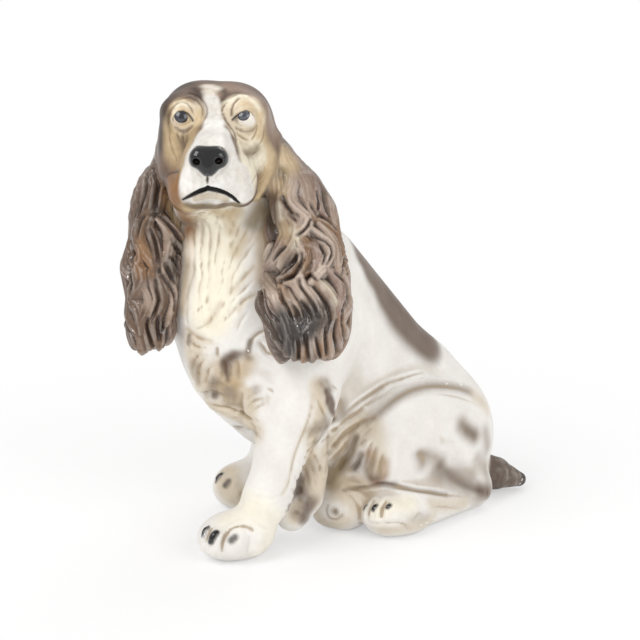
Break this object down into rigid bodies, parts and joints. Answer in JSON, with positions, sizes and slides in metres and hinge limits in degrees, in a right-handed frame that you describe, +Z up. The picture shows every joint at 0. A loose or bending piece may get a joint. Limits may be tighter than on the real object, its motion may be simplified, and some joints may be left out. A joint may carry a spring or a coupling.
{
  "type": "dog statue",
  "caption": "Seated long-eared spaniel statue in painted plaster, head turned to one side, hollow body open underneath, made to stand on a flat surface as an ornament.",
  "frame": {"origin": "on the floor, under the middle of the statue's bounding box", "axes": "+Z up, -Y the way the body and chest face, +X the dog's left side, to which the head is turned"},
  "size_m": [0.246, 0.4352, 0.4691],
  "materials": {
    "ivory_paint": "painted plaster, satin varnish",
    "tan_paint": "painted plaster, satin varnish",
    "brown_paint": "painted plaster, satin varnish",
    "dark_brown_paint": "painted plaster, satin varnish",
    "eye_glass": "gloss",
    "sleeve_board": "matt",
    "rod_steel": "drawn"
  },
  "bodies": {
    "root": {"torso_shell": "ivory_paint", "head_shell": "tan_paint", "left_ear": "brown_paint", "right_ear": "brown_paint", "left_foreleg": "ivory_paint", "right_foreleg": "ivory_paint", "left_hind_foot": "ivory_paint", "right_hind_paw": "ivory_paint", "tail": "dark_brown_paint", "left_eye": "eye_glass", "right_eye": "eye_glass", "neck_sleeve": "sleeve_board", "left_foreleg_rod": "rod_steel", "right_foreleg_rod": "rod_steel", "left_foot_pin": "rod_steel", "right_paw_pin": "rod_steel", "tail_pin": "rod_steel", "left_ear_pin": "rod_steel", "right_ear_pin": "rod_steel"}
  },
  "joints": []
}
